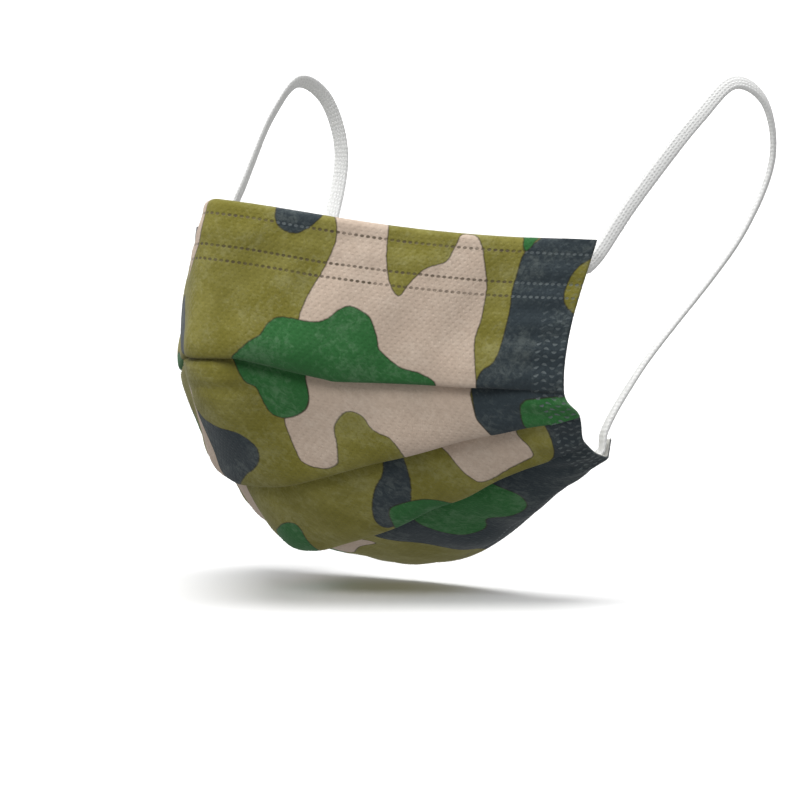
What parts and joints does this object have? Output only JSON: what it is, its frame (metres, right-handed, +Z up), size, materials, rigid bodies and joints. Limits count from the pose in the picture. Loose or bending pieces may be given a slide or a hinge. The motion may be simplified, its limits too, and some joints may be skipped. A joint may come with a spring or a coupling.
{
  "type": "face mask",
  "caption": "Child-size pleated three-ply face mask in a camouflage print, shaped as worn, with a nose wire, welded side seals and elastic ear loops.",
  "frame": {"origin": "on the middle plane between the side seals, inside the mask behind the mouth, the reference point of the wearer's face", "axes": "+Z up, -Y out of the front of the mask, +X towards the wearer's left"},
  "size_m": [0.1188, 0.1021, 0.096],
  "materials": {
    "printed_nonwoven": "camouflage print in olive, sand, green and dark slate on spunbond polypropylene",
    "filter_nonwoven": "plain white meltblown filter layer",
    "white_nonwoven": "plain white spunbond lining",
    "nose_wire": "plastic-coated flat wire",
    "welded_seal": "all plies welded together with rows of embossed points",
    "elastic": "white knitted elastic"
  },
  "bodies": {
    "nose_panel": {"nose_panel_outer_ply": "printed_nonwoven", "nose_panel_filter_ply": "filter_nonwoven", "nose_panel_inner_ply": "white_nonwoven", "nose_wire": "nose_wire", "side_seal_left": "welded_seal", "side_seal_right": "welded_seal", "ear_loop_weld_upper_left": "elastic", "ear_loop_weld_lower_left": "elastic", "ear_loop_weld_upper_right": "elastic", "ear_loop_weld_lower_right": "elastic"},
    "cheek_panel": {"cheek_panel_outer_ply": "printed_nonwoven", "cheek_panel_filter_ply": "filter_nonwoven", "cheek_panel_inner_ply": "white_nonwoven"},
    "mouth_panel": {"mouth_panel_outer_ply": "printed_nonwoven", "mouth_panel_filter_ply": "filter_nonwoven", "mouth_panel_inner_ply": "white_nonwoven"},
    "chin_panel": {"chin_panel_outer_ply": "printed_nonwoven", "chin_panel_filter_ply": "filter_nonwoven", "chin_panel_inner_ply": "white_nonwoven"},
    "ear_loop_left": {"ear_loop_left": "elastic"},
    "ear_loop_right": {"ear_loop_right": "elastic"}
  },
  "joints": [
    {"name": "upper_pleat", "type": "hinge", "parent": "nose_panel", "child": "cheek_panel", "pos_m": [0, 0.0155, -0.002], "axis": [1, 0, 0], "range_deg": [-5, 1.5]},
    {"name": "middle_pleat", "type": "hinge", "parent": "nose_panel", "child": "mouth_panel", "pos_m": [0, 0.0195, -0.0095], "axis": [1, 0, 0], "range_deg": [-8, 2.4]},
    {"name": "lower_pleat", "type": "hinge", "parent": "nose_panel", "child": "chin_panel", "pos_m": [0, 0.027, -0.015], "axis": [1, 0, 0], "range_deg": [-11, 3.3]},
    {"name": "ear_loop_left_swing", "type": "hinge", "parent": "nose_panel", "child": "ear_loop_left", "pos_m": [0.05069, 0.02422, 0.02481], "axis": [0.1397, -0.2548, 0.9568], "range_deg": [-65, 70]},
    {"name": "ear_loop_right_swing", "type": "hinge", "parent": "nose_panel", "child": "ear_loop_right", "pos_m": [-0.05069, 0.02422, 0.02481], "axis": [0.1397, 0.2548, -0.9568], "range_deg": [-65, 70]}
  ],
  "couplings": [
    {"joint": "middle_pleat", "follows": "upper_pleat", "ratio": 1.6},
    {"joint": "lower_pleat", "follows": "upper_pleat", "ratio": 2.2}
  ]
}
